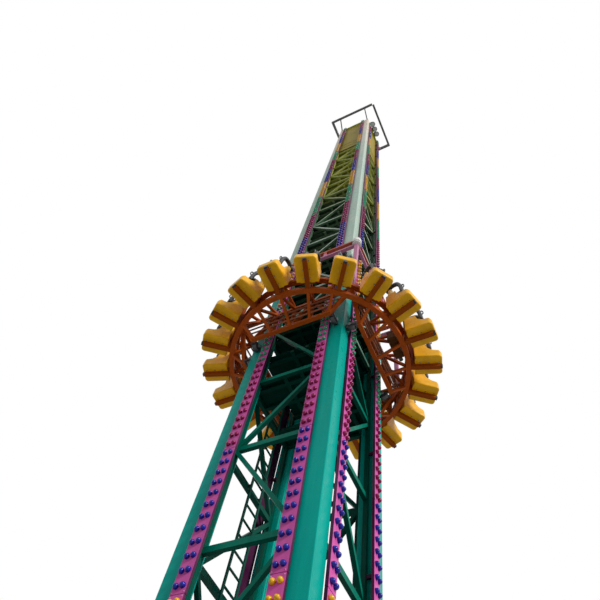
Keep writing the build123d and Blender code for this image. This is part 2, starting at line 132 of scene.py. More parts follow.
class TowerSizes(bpy.types.PropertyGroup):
    """Sizes on the fixed tower that the frame doesn't hold."""

    lamp_radius: length("Lamp radius", "Radius of one lamp cap on a strip", 0.033)
    lamp_height: length("Lamp height", "How far a lamp cap stands out of its strip", 0.05)
    lamp_spacing: length("Lamp spacing", "Distance between the two lamps of a row", 0.083)
    lamp_rows: amount("Lamp rows", "Rows of lamps in one strip segment", 12)
    strip_count: amount("Strip segments", "Boxes in one lamp strip", 17, 2)
    first_seam: length("First seam", "Height of the lowest seam between two boxes of a strip", 2.88)
    segment: length("Segment", "Height from one seam of a strip to the next", 2.17)
    strip_width: length("Strip width", "Width of a lamp strip", 0.182)
    strip_outer: length("Strip edge", "Middle of a side to the far edge of its strips", 0.663)
    strip_front: length("Strip front", "Tower's middle to the front of a strip", 0.955)
    strip_depth: length("Strip depth", "Front to back of a strip's box", 0.033)
    seam: length("Strip seam", "Gap between two boxes of a strip", 0.008)
    cladding_room: length("Cladding room", "Narrower than the lattice by this much at each edge", 0.091)
    cladding_sheet: length("Cladding sheet", "Thickness of the sheets below the head", 0.012)
    cladding_foot: length("Cladding foot", "Height of the lower edge of the cladding", 29.4)
    first_level: length("First level", "Height of the lowest cross bar", 0.694)
    bay: length("Bay", "Height of one bay of the lattice", 1.67)
    first_deck: amount("First deck", "Cross bars below the lowest deck", 5, 0)
    decks_per_bay: amount("Decks per bay", "Decks in one bay of the lattice", 2)
    deck_plate: length("Deck plate", "Thickness of a deck's plate", 0.012)
    deck_bar: length("Deck bar", "Side of the bars under a deck", 0.064)
    rope_hole: length("Rope opening", "Side of the opening in the middle of a deck", 0.24)
    hatch_width: length("Hatch width", "Opening of a deck along the ladder's rungs", 0.46)
    hatch_depth: length("Hatch depth", "Opening of a deck from the lattice inwards", 0.56)
    screw_radius: length("Strip screw radius", "Radius of the screw heads at a strip's seams", 0.006)
    plate_side: length("Foot plate", "Side of an anchor plate", 0.52)
    plate_height: length("Foot plate thickness", "Thickness of an anchor plate", 0.04)
    anchor_spacing: length("Anchor spacing", "Distance between the anchor bolts of a foot plate", 0.4)
    nut_radius: length("Nut radius", "Radius of an anchor nut across its corners", 0.026)
    floodlight_radius: length("Floodlight radius", "Radius of a floodlight's housing", 0.15)
    floodlight_length: length("Floodlight length", "Length of a floodlight's housing", 0.19)
    floodlight_pitch: length("Floodlight pitch", "Distance between two floodlights", 0.315)
    floodlight_reach: length("Floodlight reach", "Head frame to the middle of a floodlight", 0.12)
    floodlight_shift: length("Floodlight shift", "Middle of a side to its middle floodlight", 0.18)
    floodlight_tilt: angle("Floodlight tilt", "Lean of a floodlight from straight down", 25)


class GondolaSizes(bpy.types.PropertyGroup):
    """Sizes on the gondola and its restraints that the frame doesn't hold."""

    seat_depth: length("Seat depth", "Rear face of a seat to its front", 0.49)
    bolt_radius: length("Seat bolt radius", "Radius of a bolt head under a seat, across its corners", 0.008)
    rail_radius: length("Rail radius", "Radius of the rails along a side of the gondola", 0.016)
    collar_height: length("Collar height", "Lower to upper edge of the collar's two tubes", 0.35)
    cover_radius: length("Corner cover", "Radius of the moulded cover on a corner of the collar", 0.1)
    cover_height: length("Corner cover height", "Height of that cover", 0.34)
    rail_low: length("Lowest rail", "Height of the lowest rail of a side", 10.16)
    rail_pitch: length("Rail pitch", "Height from one rail to the next", 0.17)
    rail_half: length("Rail half length", "Half the length of the lowest rail", 0.83)
    rail_growth: length("Rail growth", "How much further each higher rail reaches at both ends", 0.1)
    frame_face: length("Frame face", "Tower's middle to the outer face of the gondola's square frame", 1.185)
    wheel_offset: length("Wheel offset", "Middle of a side to the middle of a guide wheel", 0.77)
    wheel_radius: length("Wheel radius", "Radius of a guide wheel", 0.09)
    axle_half: length("Axle half length", "Middle of a guide wheel to the face of its bracket", 0.055)
    axle_nut: length("Axle nut", "Radius of an axle's nut across its corners", 0.022)
    pin_height: length("Pin height", "Seat base to the restraint's pin", 0.94)
    pin_rear: length("Pin setback", "Rear face of a seat back to the restraint's pin", 0.037)
    pad_width: length("Pad width", "Width of one shoulder pad", 0.084)
    pad_thickness: length("Pad thickness", "Thickness of the pads", 0.08)
    pad_centre: length("Pad offset", "Middle of the seat to the middle of a shoulder pad", 0.102)
    voxel: length("Pad voxel", "Mesh size of the pads before they are inflated", 0.011)
    swell: length("Pad swell", "Most that a point of a pad may move when it is inflated", 0.006)


class TowerColours(bpy.types.PropertyGroup):
    """Paints and plastics."""

    teal: colour("Teal", "Guide columns, low on the tower", (0.0, 0.37, 0.31))
    pale_green: colour("Pale green", "Guide columns, above the gondola", (0.47, 0.56, 0.48))
    cream: colour("Cream", "Guide columns, near the head", (0.86, 0.67, 0.53))
    green: colour("Green", "Lattice bars, low on the tower", (0.0, 0.17, 0.115))
    # moss: the pale green darkened as painted shade, for the inside of the tower above the gondola
    moss: colour("Moss", "Inside of the tower, above the gondola", (0.042, 0.072, 0.036))
    olive: colour("Olive", "Lattice bars, high on the tower", (0.4, 0.42, 0.07))
    pink: colour("Pink", "Lamp strip boxes", (0.66, 0.1, 0.41))
    # mauve: the strip boxes darker and duller above the gondola than below it
    mauve: colour("Mauve", "Lamp strip boxes above the gondola, faded", (0.3, 0.13, 0.22))
    lilac: colour("Lilac", "Posts and lower tube of the upper collar", (0.5, 0.2, 0.34))
    white: colour("White", "Moulded covers on the collar's corners", (0.74, 0.74, 0.72))
    # plum: the boxes' own dark paint, made darker as painted shade of the gap behind the strips
    plum: colour("Plum", "Side walls of the lamp strip boxes", (0.06, 0.006, 0.045))
    mustard: colour("Mustard", "Head platform and its cladding", (0.31, 0.24, 0.022))
    rust: colour("Rust orange", "Steelwork of the gondola", (0.42, 0.08, 0.008))
    brown: colour("Brown", "Seat arms", (0.3, 0.06, 0.003))
    yellow: colour("Yellow", "Seat shells", (0.9, 0.47, 0.003))
    grey: colour("Grey", "Hoop at the head", (0.16, 0.16, 0.165))
    black: colour("Black", "Padding, plugs and treads", (0.012, 0.012, 0.014))
    lens: colour("Lens", "Floodlight glass", (0.55, 0.58, 0.6))
    lamp_yellow: colour("Yellow lamp", "Caps of the yellow lamps", (0.8, 0.44, 0.01))
    lamp_blue: colour("Blue lamp", "Caps of the blue lamps", (0.01, 0.015, 0.34))
    lamp_crimson: colour("Crimson lamp", "Caps of the crimson lamps", (0.27, 0.0, 0.08))
    lamp_green: colour("Green lamp", "Caps of the green lamps", (0.01, 0.36, 0.16))


class ViewSettings(bpy.types.PropertyGroup):
    """The camera of the main view and the light."""

    place: FloatVectorProperty(name="Camera place", description="Where the camera stands",
                               subtype="TRANSLATION", unit="LENGTH", size=3, default=(3.078, -4.779, 1.6))
    heading: angle("Heading", "Turn of the view from straight ahead", 39.98)
    tilt: angle("Tilt", "Tilt of the view above the horizon", 63.4)
    roll: angle("Roll", "Roll of the camera about its view line", 16.58)
    lens: number("Lens", "Focal length on a 36 mm sensor, in millimetres", 32.706)
    world_strength: number("World strength", "Strength of the soft light", 0.4)
    sun_strength: number("Sun strength", "Strength of the key light", 2.8)
    floor_bounce: FloatProperty(name="Floor bounce", default=0.45, min=0, max=1,
                                description="Shade of the floor as the object's light sees it")
    floor_half: length("Floor half side", "Tower's middle to an edge of the floor", 400.0)


def sizes():
    return bpy.context.scene.tower_sizes


def gondola_sizes():
    return bpy.context.scene.gondola_sizes


def tint(name, factor=1.0):
    """One of the colour settings, made darker or lighter."""
    return shaded(getattr(bpy.context.scene.tower_colours, name), factor)


# Materials


class Finish:
    """A node material under construction, with short calls for the nodes that the finishes share."""

    def __init__(self, name):
        self.material = bpy.data.materials.new(name)
        self.material.use_nodes = True
        self.tree = self.material.node_tree
        self.shader = self.tree.nodes["Principled BSDF"]
        self.coordinates = self.node("ShaderNodeTexCoord")
        self.place = self.coordinates.outputs["Object"]

    def node(self, kind, **settings):
        made = self.tree.nodes.new(kind)
        for key, value in settings.items():
            setattr(made, key, value)
        return made

    def join(self, source, target):
        self.tree.links.new(source, target)

    def noise(self, scale, detail=4.0, stretch=(1, 1, 1), roughness=0.55):
        mapping = self.node("ShaderNodeMapping")
        mapping.inputs["Scale"].default_value = stretch
        self.join(self.place, mapping.inputs["Vector"])
        noise = self.node("ShaderNodeTexNoise")
        noise.inputs["Scale"].default_value = scale
        noise.inputs["Detail"].default_value = detail
        noise.inputs["Roughness"].default_value = roughness
        self.join(mapping.outputs["Vector"], noise.inputs["Vector"])
        return noise.outputs["Fac"]

    def ramp(self, source, stops):
        ramp = self.node("ShaderNodeValToRGB")
        elements = ramp.color_ramp.elements
        while len(elements) < len(stops):
            elements.new(1.0)
        for element, (position, shade) in zip(elements, stops):
            element.position = position
            element.color = (*shade, 1.0)
        self.join(source, ramp.inputs["Fac"])
        return ramp.outputs["Color"]

    def span(self, source, low, high, to_low=0.0, to_high=1.0):
        node = self.node("ShaderNodeMapRange")
        node.inputs["From Min"].default_value = low
        node.inputs["From Max"].default_value = high
        node.inputs["To Min"].default_value = to_low
        node.inputs["To Max"].default_value = to_high
        self.join(source, node.inputs["Value"])
        return node.outputs["Result"]

    def height(self, low, high):
        split = self.node("ShaderNodeSeparateXYZ")
        self.join(self.place, split.inputs["Vector"])
        return self.span(split.outputs["Z"], low, high)

    def outward(self):
        """How far a face looks away from the tower's middle line, times its own distance from it."""
        level = self.node("ShaderNodeVectorMath", operation="MULTIPLY")
        level.inputs[1].default_value = (1, 1, 0)
        self.join(self.place, level.inputs[0])
        product = self.node("ShaderNodeVectorMath", operation="DOT_PRODUCT")
        self.join(level.outputs["Vector"], product.inputs[0])
        self.join(self.coordinates.outputs["Normal"], product.inputs[1])
        return product.outputs["Value"]

    def mix(self, factor, a, b, blend="MIX"):
        node = self.node("ShaderNodeMix", data_type="RGBA", blend_type=blend)
        for value, socket in ((factor, node.inputs[0]), (a, node.inputs[6]), (b, node.inputs[7])):
            if isinstance(value, bpy.types.NodeSocket):
                self.join(value, socket)
            elif isinstance(value, float):
                socket.default_value = value
            else:
                socket.default_value = (*value, 1.0)
        return node.outputs[2]

    def bump(self, source, strength, distance):
        node = self.node("ShaderNodeBump")
        node.inputs["Strength"].default_value = strength
        node.inputs["Distance"].default_value = distance
        self.join(source, node.inputs["Height"])
        self.join(node.outputs["Normal"], self.shader.inputs["Normal"])

    def set(self, **values):
        for key, value in values.items():
            socket = self.shader.inputs[key.replace("_", " ")]
            if isinstance(value, bpy.types.NodeSocket):
                self.join(value, socket)
            else:
                socket.default_value = value
        return self.material


def shaded(shade, factor):
    return tuple(min(1.0, value * factor) for value in shade)


def weathered(finish, base, touch, rough, streaks, shine=0.06):
    """Rain streaks, faded patches and orange peel over a coat of gloss paint."""
    streak = finish.noise(2.4, 5.0, (6.0, 6.0, 0.35))
    dirt = finish.ramp(streak, [(0.42, (1, 1, 1)), (0.74, (0.5, 0.5, 0.5))])
    coat = finish.mix(streaks, base, dirt, "MULTIPLY")
    patch = finish.noise(0.9, 3.0)
    coat = finish.mix(finish.span(patch, 0.35, 0.7, 0.0, 0.22), coat, shaded(touch, 1.35))
    gloss = finish.span(finish.noise(7.0, 4.0), 0.3, 0.7, rough - 0.08, rough + 0.14)
    finish.bump(finish.noise(55.0, 2.0), 0.12, 0.002)
    return finish.set(Base_Color=coat, Roughness=gloss, Specular_IOR_Level=shine)


def paint(name, stops, low, high, rough=0.38, streaks=0.35):
    """Gloss paint whose colour changes up the tower."""
    finish = Finish(name)
    base = finish.ramp(finish.height(low, high), stops)
    return weathered(finish, base, stops[0][1], rough, streaks)


def inside(greens, moss, olives):
    """Stops up the inside of the tower, as painted shade and light: dark shades of green, moss over the
    gondola, and olive to the head, lighter there as painted light.
    """
    stops = [(at, tint("green", factor)) for at, factor in greens]
    stops += [(at, tint("moss", moss)) for at in MOSS_BAND]
    return stops + [(at, tint("olive", factor)) for at, factor in zip(OLIVE_BAND, olives)]


def column_paint():
    """Teal to a little above the gondola, pale green over it, cream near the head."""
    turn = (RING_HIGH.z + 2.0) / COLUMN_HIGH.z
    stops = [(0.0, tint("teal")), (turn, tint("teal")), (turn + 0.02, tint("pale_green")),
             (0.7, tint("pale_green")), (1.0, tint("cream"))]
    return paint("column_paint", stops, 0.0, COLUMN_HIGH.z, 0.3, 0.3)


def lattice_paint():
    """Painted shade inside the tower: the inward faces are dark green low down, then moss, then olive near
    the head, lighter there as painted light; on the outward faces green low down, then pale, and olive near
    the head.
    """
    finish = Finish("lattice_paint")
    height = finish.height(0.0, COLUMN_HIGH.z)
    turn = RING_HIGH.z / COLUMN_HIGH.z
    outer = finish.ramp(height, [
        (0.0, tint("green")), (turn - 0.02, tint("green")), (turn + 0.05, tint("pale_green")),
        (0.45, tint("pale_green")), (0.6, tint("olive")), (1.0, tint("olive"))])
    # painted shade: inward faces darker than the paint low down; painted light: lighter olive on them near
    # the head
    inner = finish.ramp(height, inside([(0.0, 0.5), (0.2, 0.4), (0.25, 0.22)], 2.1, (1.1, 1.45)))
    base = finish.mix(finish.span(finish.outward(), 0.5, 0.75), inner, outer)
    return weathered(finish, base, tint("green"), 0.36, 0.4)


def deck_bar_paint():
    """The deck's bars, a shade lighter than its plates: dark green as painted shade low in the tower, moss
    over the gondola, and olive lit as painted light near the head.
    """
    stops = inside([(0.0, 0.3), (0.3, 0.24)], 2.4, (1.1, 1.45))
    return paint("deck_bar_paint", stops, 0.0, COLUMN_HIGH.z, 0.5, 0.4)


def deck_paint():
    """Painted shade on the decks: nearly black green below, moss over the gondola, and olive near the head,
    lighter there as painted light.
    """
    stops = inside([(0.0, 0.2), (0.35, 0.2)], 1.0, (0.6, 0.85))
    return paint("deck_paint", stops, 0.0, COLUMN_HIGH.z, 0.6, 0.5)


def collar_paint():
    """Orange on the collar's upper tube, lilac on its lower tube and posts."""
    stops = [(0.0, tint("lilac")), (0.44, tint("lilac")), (0.56, tint("rust")), (1.0, tint("rust"))]
    foot = COLLAR_HIGH.z - gondola_sizes().collar_height
    return paint("collar_paint", stops, foot, COLLAR_HIGH.z, 0.4, 0.35)


def mustard_paint():
    return plain_paint("mustard_paint", tint("mustard"), 0.5, 0.5)


def strip_paint():
    """Pink on the front of each strip, duller high on the tower, and dark plum round its sides: the boxes'
    own dark paint, made darker as painted shade of the gap behind the strips.
    """
    finish = Finish("strip_paint")
    # the front's pink turns to a darker, duller mauve above the gondola
    front = finish.ramp(finish.height(0.0, COLUMN_HIGH.z), [
        (0.0, tint("pink")), (0.3, tint("pink")), (0.42, tint("mauve")), (1.0, tint("mauve"))])
    # sides, backs and brackets get dark plum: their own dark paint, darkened as painted shade of the gap
    # behind the strips
    base = finish.mix(finish.span(finish.outward(), 0.7, 0.9), tint("plum"), front)
    return weathered(finish, base, tint("mauve"), 0.34, 0.3)


def plain_paint(name, shade, rough=0.4, streaks=0.35):
    return paint(name, [(0.0, shade), (1.0, shaded(shade, 0.92))], 0.0, COLUMN_HIGH.z, rough, streaks)


def shell_plastic():
    """Moulded seat shell: glossy, slightly mottled, with patches of grime."""
    finish = Finish("seat_shell")
    base = tint("yellow")
    mottle = finish.ramp(finish.noise(3.0, 5.0), [(0.3, shaded(base, 0.82)), (0.7, shaded(base, 1.12))])
    grime = finish.noise(9.0, 6.0)
    coat = finish.mix(finish.span(grime, 0.5, 0.8, 0.0, 0.3), mottle, shaded(base, 0.45))
    gloss = finish.span(finish.noise(14.0, 4.0), 0.3, 0.7, 0.24, 0.42)
    finish.bump(finish.noise(90.0, 2.0), 0.08, 0.001)
    return finish.set(Base_Color=coat, Roughness=gloss, Specular_IOR_Level=0.2,
                      Coat_Weight=0.06, Coat_Roughness=0.2)


def skin_foam():
    """Black skinned foam with a fine grain and scuffed highs."""
    finish = Finish("restraint_pad")
    base = tint("black")
    scuff = finish.ramp(finish.noise(22.0, 6.0), [(0.4, base), (0.75, shaded(base, 3.6))])
    gloss = finish.span(finish.noise(30.0, 4.0), 0.3, 0.7, 0.42, 0.62)
    finish.bump(finish.noise(260.0, 3.0), 0.35, 0.0012)
    return finish.set(Base_Color=scuff, Roughness=gloss)


def dark_metal(name, shade=(0.045, 0.045, 0.05), metallic=0.0):
    finish = Finish(name)
    coat = finish.ramp(finish.noise(16.0, 6.0), [(0.35, shade), (0.75, shaded(shade, 2.1))])
    gloss = finish.span(finish.noise(24.0, 4.0), 0.3, 0.7, 0.35, 0.6)
    finish.bump(finish.noise(120.0, 3.0), 0.2, 0.001)
    return finish.set(Base_Color=coat, Roughness=gloss, Metallic=metallic)


def lamp_cap(name, shade):
    """Smooth cap of coloured plastic, or clear glass, a little uneven in tone."""
    finish = Finish(name)
    glow = finish.ramp(finish.noise(40.0, 3.0), [(0.3, shaded(shade, 0.6)), (0.7, shaded(shade, 1.25))])
    gloss = finish.span(finish.noise(60.0, 2.0), 0.3, 0.7, 0.12, 0.28)
    return finish.set(Base_Color=glow, Roughness=gloss, Specular_IOR_Level=0.25,
                      Coat_Weight=0.08, Coat_Roughness=0.1)


def dress(node, material):
    """Give a node of the frame its material."""
    slots = frame["nodes"][node].data.materials
    slots.clear()
    slots.append(material)


# Mesh pieces


def circle(radius, count):
    return [(radius * cos(2 * pi * i / count), radius * sin(2 * pi * i / count)) for i in range(count)]


def quads(count, rows):
    """Faces between neighbouring rings of points, each ring of the same count."""
    faces = []
    for row in range(rows - 1):
        for i in range(count):
            a, b = row * count + i, row * count + (i + 1) % count
            faces.append((a, b, b + count, a + count))
    return faces


class Parts:
    """Points and faces of many small solids, gathered into one mesh."""

    def __init__(self):
        self.points = []
        self.faces = []

    def add(self, points, faces, place=Matrix.Identity(4)):
        start = len(self.points)
        self.points += [place @ Vector(point) for point in points]
        self.faces += [tuple(start + i for i in face) for face in faces]

    def lathe(self, profile, segments, place):
        """A solid of revolution about its own Z; the profile runs from the foot to the tip on the axis."""
        points = [(x, y, z) for radius, z in profile[:-1] for x, y in circle(radius, segments)]
        tip = len(points)
        points.append((0.0, 0.0, profile[-1][1]))
        faces = quads(segments, len(profile) - 1)
        last = tip - segments
        for i in range(segments):
            faces.append((last + i, last + (i + 1) % segments, tip))
        faces.append(tuple(reversed(range(segments))))
        self.add(points, faces, place)

    def collar(self, loop, segments, place):
        """A ring about its own Z, whose section is a closed loop of radius and z."""
        points = [(x, y, z) for radius, z in loop for x, y in circle(radius, segments)]
        faces = [[corner % len(points) for corner in face] for face in quads(segments, len(loop) + 1)]
        self.add(points, faces, place)

    def block(self, low, high, place=Matrix.Identity(4)):
        x, y, z = zip(low, high)
        points = [(x[i], y[j], z[k]) for i in (0, 1) for j in (0, 1) for k in (0, 1)]
        faces = [(0, 1, 3, 2), (4, 6, 7, 5), (0, 4, 5, 1), (2, 3, 7, 6), (0, 2, 6, 4), (1, 5, 7, 3)]
        self.add(points, faces, place)

    def sweep(self, path, section, place=Matrix.Identity(4), ends=(1.0,)):
        """A section swept along a path; ends scale the first and last stations, from the tip inwards."""
        path = [Vector(point) for point in path]
        count = len(section)
        side = None
        points = []
        for i, at in enumerate(path):
            along = (path[min(i + 1, len(path) - 1)] - path[max(i - 1, 0)]).normalized()
            if side is None:
                level = Vector((0, 0, 1)) if abs(along.z) < 0.9 else Vector((0, 1, 0))
                side = along.cross(level).normalized()
            side = (side - along * side.dot(along)).normalized()
            up = along.cross(side)
            near = min(i, len(path) - 1 - i)
            scale = ends[near] if near < len(ends) else 1.0
            points += [at + side * (u * scale) + up * (v * scale) for u, v in section]
        faces = quads(count, len(path))
        faces.append(tuple(reversed(range(count))))
        faces.append(tuple((len(path) - 1) * count + j for j in range(count)))
        self.add(points, faces, place)

    def piece(self, name, material, body, smooth=True, slot=None):
        mesh = bpy.data.meshes.new(name)
        mesh.from_pydata([tuple(point) for point in self.points], [], self.faces)
        mesh.materials.append(material)
        if smooth:
            mesh.shade_smooth()
        else:
            mesh.shade_flat()
        made = bpy.data.objects.new(name, mesh)
        bpy.context.scene.collection.objects.link(made)
        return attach(made, body)


def cushion_section(half_width, half_height, count):
    """A crowned rectangle: a superellipse of power 3.4."""
    power = 2 / 3.4
    section = []
    for i in range(count):
        turn = 2 * pi * (i + 0.5) / count
        u = copysign(abs(cos(turn)) ** power, cos(turn)) * half_width
        v = copysign(abs(sin(turn)) ** power, sin(turn)) * half_height
        section.append((u, v))
    return section


def eased(points, rounds=3):
    """An open line with its corners cut again and again, its ends kept."""
    line = [Vector(point) for point in points]
    for _ in range(rounds):
        cut = [line[0]]
        for a, b in zip(line, line[1:]):
            cut += [a.lerp(b, 0.25), a.lerp(b, 0.75)]
        line = cut + [line[-1]]
    return line


def side_frame(quarter):
    """From the front side's own axes, x along it and y into the tower, to another side."""
    return Matrix.Rotation(quarter * pi / 2, 4, "Z")


def facing(place, outward):
    """A frame at a place, with its Z along outward."""
    return Matrix.Translation(place) @ Vector(outward).to_track_quat("Z", "Y").to_matrix().to_4x4()


def seat_frame(number):
    """A seat's own frame: x outward from its rear face, z up from its base."""
    count = len(RESTRAINTS)
    turn = 2 * pi * (number - (count // 4 - 1) / 2) / count - pi / 2
    rear = -SEAT_LOW.y - gondola_sizes().seat_depth
    return Matrix.Rotation(turn, 4, "Z") @ Matrix.Translation((rear, 0.0, SEAT_LOW.z))


def strips():
    """The frame of a side with -1 or 1 for one of its two strips, for each of the eight strips."""
    return [(side_frame(quarter), strip) for quarter in range(4) for strip in (-1, 1)]


def strip_centre(s):
    """Middle of a side to the middle line of its strips."""
    return s.strip_outer - s.strip_width / 2


def strip_boxes(s):
    """Lower and upper end of each box of a lamp strip; the seams are even, and the end boxes shorter."""
    seams = [s.first_seam + i * s.segment for i in range(s.strip_count - 1)]
    return list(zip([STRIP_LOW.z] + seams, seams + [STRIP_HIGH.z]))


def bolt(parts, radius, place):
    """A hexagon head on a washer, standing on a face."""
    parts.lathe([(radius * 1.5, 0), (radius * 1.5, radius * 0.2), (0, radius * 0.2)], 16, place)
    parts.lathe([(radius, 0), (radius, radius * 0.8), (radius * 0.85, radius * 0.95), (0, radius * 0.95)],
                6, place)


# Steps of the dressing, one operator each


class TOWER_OT_paint(bpy.types.Operator):
    """Paint the fixed tower: columns, lattices, ladder, head and foot"""

    bl_idname = "tower.paint"
    bl_label = "Paint Tower"

    def execute(self, context):
        lattice = lattice_paint()
        dress("guide_columns", column_paint())
        for side in SIDES:
            dress(f"lattice_{side}", lattice)
        for node in ("ladder", "head_frame"):
            dress(node, lattice)
        dress("head_cladding", mustard_paint())
        dress("top_hoop", plain_paint("hoop_steel", tint("grey"), 0.42, 0.3))
        foot = plain_paint("foot_steel", tint("green", 0.9), 0.5, 0.6)
        dress("base_frame", foot)
        dress("base_plates", foot)
        dress("head_lamps", dark_metal("dark_steel"))
        return {"FINISHED"}


class TOWER_OT_strips(bpy.types.Operator):
    """Build the shallow boxes of the lamp strips, with a seam at each end and a bracket to the lattice"""

    bl_idname = "tower.strips"
    bl_label = "Strip Boxes"

    # a bracket's half width, and how far it reaches below and above the middle of a box
    bracket, below, above = 0.015, 0.03, 0.02

    def execute(self, context):
        s = sizes()
        boxes = Parts()
        half = s.strip_width / 2
        back, front = -s.strip_front + s.strip_depth, -s.strip_front
        lip, hidden = s.seam / 2, s.seam * 0.6
        chord = BARS_HIGH.x - (BARS_HIGH.y - BARS_LOW.y) / 2
        for place, strip in strips():
            x = strip * strip_centre(s)
            boxes.block((x - half + hidden, front + hidden, STRIP_LOW.z),
                        (x + half - hidden, back, STRIP_HIGH.z), place)
            for low, high in strip_boxes(s):
                boxes.block((x - half, front, low + lip), (x + half, back + hidden, high - lip), place)
                middle = min((low + high) / 2, BARS_HIGH.z - s.seam)
                boxes.block((strip * chord - self.bracket, back, middle - self.below),
                            (strip * chord + self.bracket, BARS_LOW.y, middle + self.above), place)
        made = boxes.piece("strip_boxes", strip_paint(), TOWER, False, "strip_paint")
        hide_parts("lamp_strips")
        return {"FINISHED"}


class TOWER_OT_cladding(bpy.types.Operator):
    """Carry the sheets of the head further down each side, with a folded rib at every joint"""

    bl_idname = "tower.cladding"
    bl_label = "Lower Cladding"

    joints = 3      # sheets to a side, each with a rib along its foot

    def execute(self, context):
        s = sizes()
        sheets = Parts()
        half = BARS_HIGH.x - s.cladding_room
        front = BARS_LOW.y - s.cladding_sheet
        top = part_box("head_cladding")[0].z
        rise = (top - s.cladding_foot) / self.joints
        for quarter in range(4):
            place = side_frame(quarter)
            for i in range(self.joints):
                low = s.cladding_foot + i * rise
                sheets.block((-half, front, low), (half, BARS_LOW.y, low + rise), place)
                rib = low + 3 * s.cladding_sheet
                sheets.block((-half, front - s.cladding_sheet, low), (half, front, rib), place)
        sheets.piece("cladding_sheets", mustard_paint(), TOWER, False, "mustard_paint")
        return {"FINISHED"}


class TOWER_OT_decks(bpy.types.Operator):
    """Lay decks on bars up the inside of the tower, open at the ladder and the rope"""

    bl_idname = "tower.decks"
    bl_label = "Decks"

    def execute(self, context):
        s = sizes()
        decks, bars = Parts(), Parts()
        room = -BARS_HIGH.y
        inner = BARS_HIGH.x
        rope = s.rope_hole / 2
        hatch_y, hatch_x = s.hatch_width / 2, s.hatch_depth - room
        edges_x = (-room, -inner, hatch_x, -rope, rope, inner, room)
        edges_y = (-room, -inner, -hatch_y, -rope, rope, hatch_y, inner, room)
        z = s.first_level + s.bay * s.first_deck
        while z < BARS_HIGH.z:
            top = z + s.deck_bar / 2
            for x0, x1 in zip(edges_x, edges_x[1:]):
                for y0, y1 in zip(edges_y, edges_y[1:]):
                    x, y = (x0 + x1) / 2, (y0 + y1) / 2
                    column = abs(x) > inner and abs(y) > inner
                    hatch = x < hatch_x and abs(y) < hatch_y
                    if column or hatch or (abs(x) < rope and abs(y) < rope):
                        continue
                    decks.block((x0, y0, top), (x1, y1, top + s.deck_plate))
            w, foot = s.deck_bar / 2, top - s.deck_bar
            for y in (-inner + w, -hatch_y - w, hatch_y + w, inner - w):
                bars.block((-room, y - w, foot), (room, y + w, top))
            for x in (hatch_x + w, rope + w, inner - w):
                for y0, y1 in ((-room, -inner), (-inner + 2 * w, -hatch_y - 2 * w), (-hatch_y, hatch_y),
                               (hatch_y + 2 * w, inner - 2 * w), (inner, room)):
                    bars.block((x - w, y0, foot), (x + w, y1, top))
            z += s.bay / s.decks_per_bay
        bars.piece("deck_bars", deck_bar_paint(), TOWER, False, "lattice_paint")
        made = decks.piece("rest_decks", deck_paint(), TOWER, False, "lattice_paint")
        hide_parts("plan_bracing")
        return {"FINISHED"}


class TOWER_OT_lamps(bpy.types.Operator):
    """Set two lamp caps in every row of every strip segment, in colours that repeat up the tower"""

    bl_idname = "tower.lamps"
    bl_label = "Lamp Caps"

    order = ("yellow", "blue", "crimson", "green")      # up each strip and again, after one green box

    def execute(self, context):
        s = sizes()
        r, h = s.lamp_radius, s.lamp_height
        profile = [(r, 0.0), (r, h * 0.3), (r * 0.92, h * 0.56), (r * 0.72, h * 0.8),
                   (r * 0.4, h * 0.95), (0.0, h)]
        groups = {name: Parts() for name in self.order}
        pitch = s.segment / s.lamp_rows
        for i, (low, high) in enumerate(strip_boxes(s)):
            group = groups[self.order[(i - 1) % len(self.order)]]
            for row in range(s.lamp_rows):
                z = s.first_seam + (i - 1) * s.segment + pitch * (row + 0.5)
                if not low + r < z < high - r:
                    continue
                for side, strip in strips():
                    for lamp in (-0.5, 0.5):
                        x = strip * strip_centre(s) + lamp * s.lamp_spacing
                        group.lathe(profile, 8, side @ facing((x, -s.strip_front, z), (0, -1, 0)))
        for name, group in groups.items():
            group.piece(f"lamps_{name}", lamp_cap(f"lamp_{name}", tint(f"lamp_{name}")), TOWER)
        return {"FINISHED"}


class TOWER_OT_screws(bpy.types.Operator):
    """Put two pan-head screws at each end of every strip segment"""

    bl_idname = "tower.screws"
    bl_label = "Strip Screws"

    def execute(self, context):
        s = sizes()
        r = s.screw_radius
        profile = [(r, 0.0), (r, r * 0.3), (r * 0.7, r * 0.65), (0.0, r * 0.8)]
        screws = Parts()
        inset = s.strip_width / 2 - 3 * r
        for low, high in strip_boxes(s):
            for z in (low + 4 * r, high - 4 * r):
                for side, strip in strips():
                    for shift in (-inset, inset):
                        at = (strip * strip_centre(s) + shift, -s.strip_front, z)
                        screws.lathe(profile, 8, side @ facing(at, (0, -1, 0)))
        steel = dark_metal("screw_steel", (0.3, 0.3, 0.31), 0.9)
        screws.piece("strip_screws", steel, TOWER, slot="dark_steel")
        return {"FINISHED"}


class TOWER_OT_anchors(bpy.types.Operator):
    """Put an anchor stud with its washer and nut in every hole of the foot plates"""

    bl_idname = "tower.anchors"
    bl_label = "Anchor Nuts"

    def execute(self, context):
        s = sizes()
        r = s.nut_radius
        nuts = Parts()
        centre = PLATE_HIGH.x - s.plate_side / 2
        stud = [(r * 0.5, r * 0.7), (r * 0.5, r * 1.9), (r * 0.4, r * 2.1), (0, r * 2.1)]
        half = s.anchor_spacing / 2
        for x, y in CORNERS:
            for dx, dy in CORNERS:
                place = Matrix.Translation((x * centre + dx * half, y * centre + dy * half, s.plate_height))
                bolt(nuts, r, place)
                nuts.lathe(stud, 12, place)
        nuts.piece("anchor_nuts", dark_metal("nut_steel", (0.2, 0.2, 0.21), 0.8), TOWER, False, "dark_steel")
        return {"FINISHED"}


